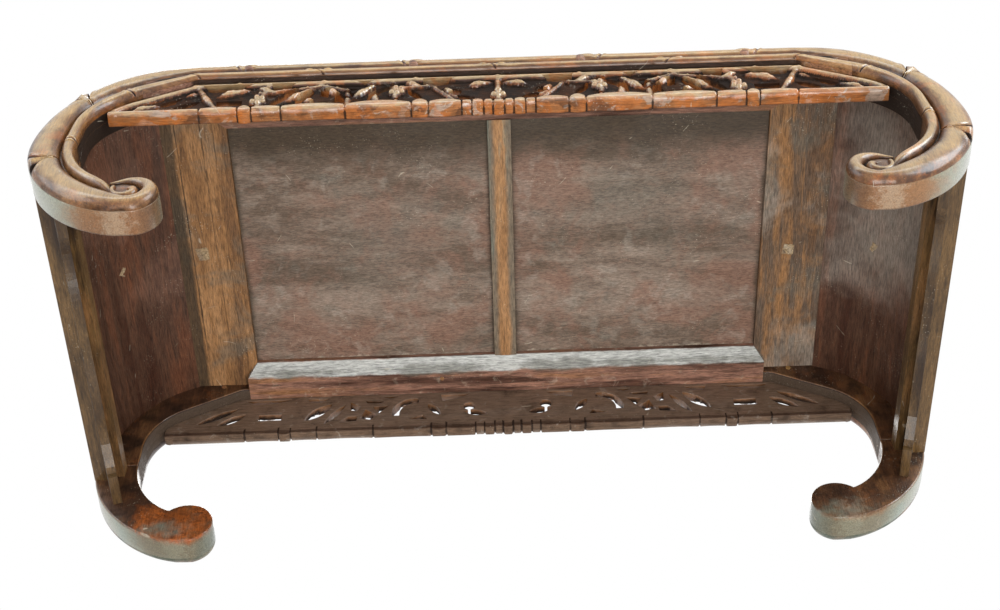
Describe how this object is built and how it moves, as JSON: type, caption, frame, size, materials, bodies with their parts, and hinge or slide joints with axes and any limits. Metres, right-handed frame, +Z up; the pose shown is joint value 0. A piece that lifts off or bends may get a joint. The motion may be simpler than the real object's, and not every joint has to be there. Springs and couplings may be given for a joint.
{
  "type": "opium table",
  "caption": "Low rectangular hardwood table with rolled-over ends, C-scroll legs carved as bamboo, pierced bamboo aprons on the long sides and scalloped aprons at the ends.",
  "frame": {"origin": "on the floor, under the middle of the top", "axes": "+X along the length to the right as seen from the front, +Y to the back, +Z up"},
  "size_m": [1.27, 0.6176, 0.3965],
  "materials": {
    "rail": "satin, worn rosewood",
    "knee": "satin, worn rosewood",
    "foot": "satin, worn rosewood",
    "apron": "satin, carved rosewood",
    "cross_board": "matt, unfinished underside",
    "top_panel": "matt, unfinished underside",
    "batten": "matt, unfinished underside",
    "end_board": "matt, unfinished inside",
    "end_rail": "satin, worn edge",
    "end_apron": "satin",
    "ledger": "worn, light arris",
    "peg": "end grain"
  },
  "bodies": {
    "root": {"rail_front": "rail", "rail_back": "rail", "knee_front_left": "knee", "knee_front_right": "knee", "knee_back_left": "knee", "knee_back_right": "knee", "foot_front_left": "foot", "foot_front_right": "foot", "foot_back_left": "foot", "foot_back_right": "foot", "apron_front": "apron", "apron_back": "apron", "cross_board_left": "cross_board", "cross_board_right": "cross_board", "top_panel_left": "top_panel", "top_panel_right": "top_panel", "centre_batten": "batten", "end_board_upper_left": "end_board", "end_board_upper_right": "end_board", "end_board_lower_left": "end_board", "end_board_lower_right": "end_board", "end_rail_left": "end_rail", "end_rail_right": "end_rail", "end_apron_left": "end_apron", "end_apron_right": "end_apron", "end_ledger_left": "ledger", "end_ledger_right": "ledger", "lap_pegs": "peg", "rail_pegs": "peg"}
  },
  "joints": []
}
